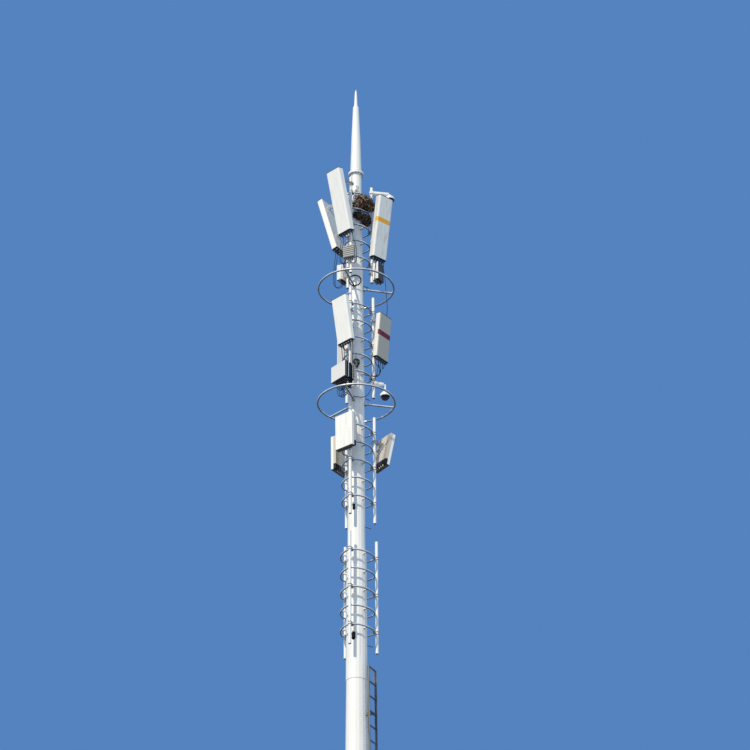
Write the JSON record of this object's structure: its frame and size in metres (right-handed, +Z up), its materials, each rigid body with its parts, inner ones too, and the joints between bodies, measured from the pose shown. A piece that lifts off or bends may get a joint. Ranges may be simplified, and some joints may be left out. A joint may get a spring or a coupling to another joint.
{
  "type": "monopole cell tower",
  "caption": "Tapered many-sided steel monopole on a bolted base plate, with hoops, antenna pipes, panel antennas, radio units, work rings, cameras, ladder, nest and lightning spire.",
  "frame": {"origin": "centre of the base plate's underside, on the shaft's axis", "axes": "+Z up the shaft, -Y towards the side that was pictured, +X to the right seen from there"},
  "size_m": [1.6534, 1.6524, 35.125],
  "materials": {
    "white_paint": "semi-gloss white paint, weathered, with faint grey runs and rust at edges",
    "galvanised_fittings": "hot-dip galvanised steel painted over in white-grey",
    "radome": "satin white glass-fibre radome",
    "radio_casing": "powder-coated die casting, light grey",
    "cable_sheath": "matt black polyethylene sheath",
    "sticks": "dry grey-brown twigs",
    "camera_casing": "satin white camera housing",
    "dark_dome": "smoked black camera ball"
  },
  "bodies": {
    "tower": {"active_antenna_front": "radome", "active_antenna_left": "radome", "active_antenna_right": "radome", "antenna_pipes_1": "white_paint", "antenna_pipes_2": "white_paint", "antenna_pipes_3": "white_paint", "antenna_pipes_4": "white_paint", "base_plate": "white_paint", "brackets_lower": "galvanised_fittings", "brackets_middle": "galvanised_fittings", "brackets_top": "galvanised_fittings", "cable_coil": "cable_sheath", "camera_arm": "white_paint", "camera_hood": "camera_casing", "hand_hole_cover": "white_paint", "hoops_1": "white_paint", "hoops_2": "white_paint", "hoops_3": "white_paint", "hoops_4": "white_paint", "jumpers_middle": "cable_sheath", "jumpers_top": "cable_sheath", "ladder": "galvanised_fittings", "lightning_spire": "white_paint", "long_cables": "cable_sheath", "nest": "sticks", "panel_middle_back": "radome", "panel_middle_front": "radome", "panel_middle_right": "radome", "panel_top_front": "radome", "panel_top_left": "radome", "panel_top_right": "radome", "pole_section_1": "white_paint", "pole_section_2": "white_paint", "pole_section_3": "white_paint", "pole_section_4": "white_paint", "pole_section_5": "white_paint", "pole_section_6": "white_paint", "radio_unit_middle": "radio_casing", "radio_units_top": "radio_casing", "step_bolts": "galvanised_fittings", "top_stub": "white_paint", "upper_dome": "camera_casing", "work_ring_lower": "white_paint", "work_ring_upper": "white_paint"},
    "camera_ball": {"camera_ball": "dark_dome"}
  },
  "joints": [
    {"name": "camera_pan", "type": "hinge", "parent": "tower", "child": "camera_ball", "pos_m": [0.59118, 0.1789, 27.6], "axis": [0, 0, 1], "continuous": true}
  ]
}
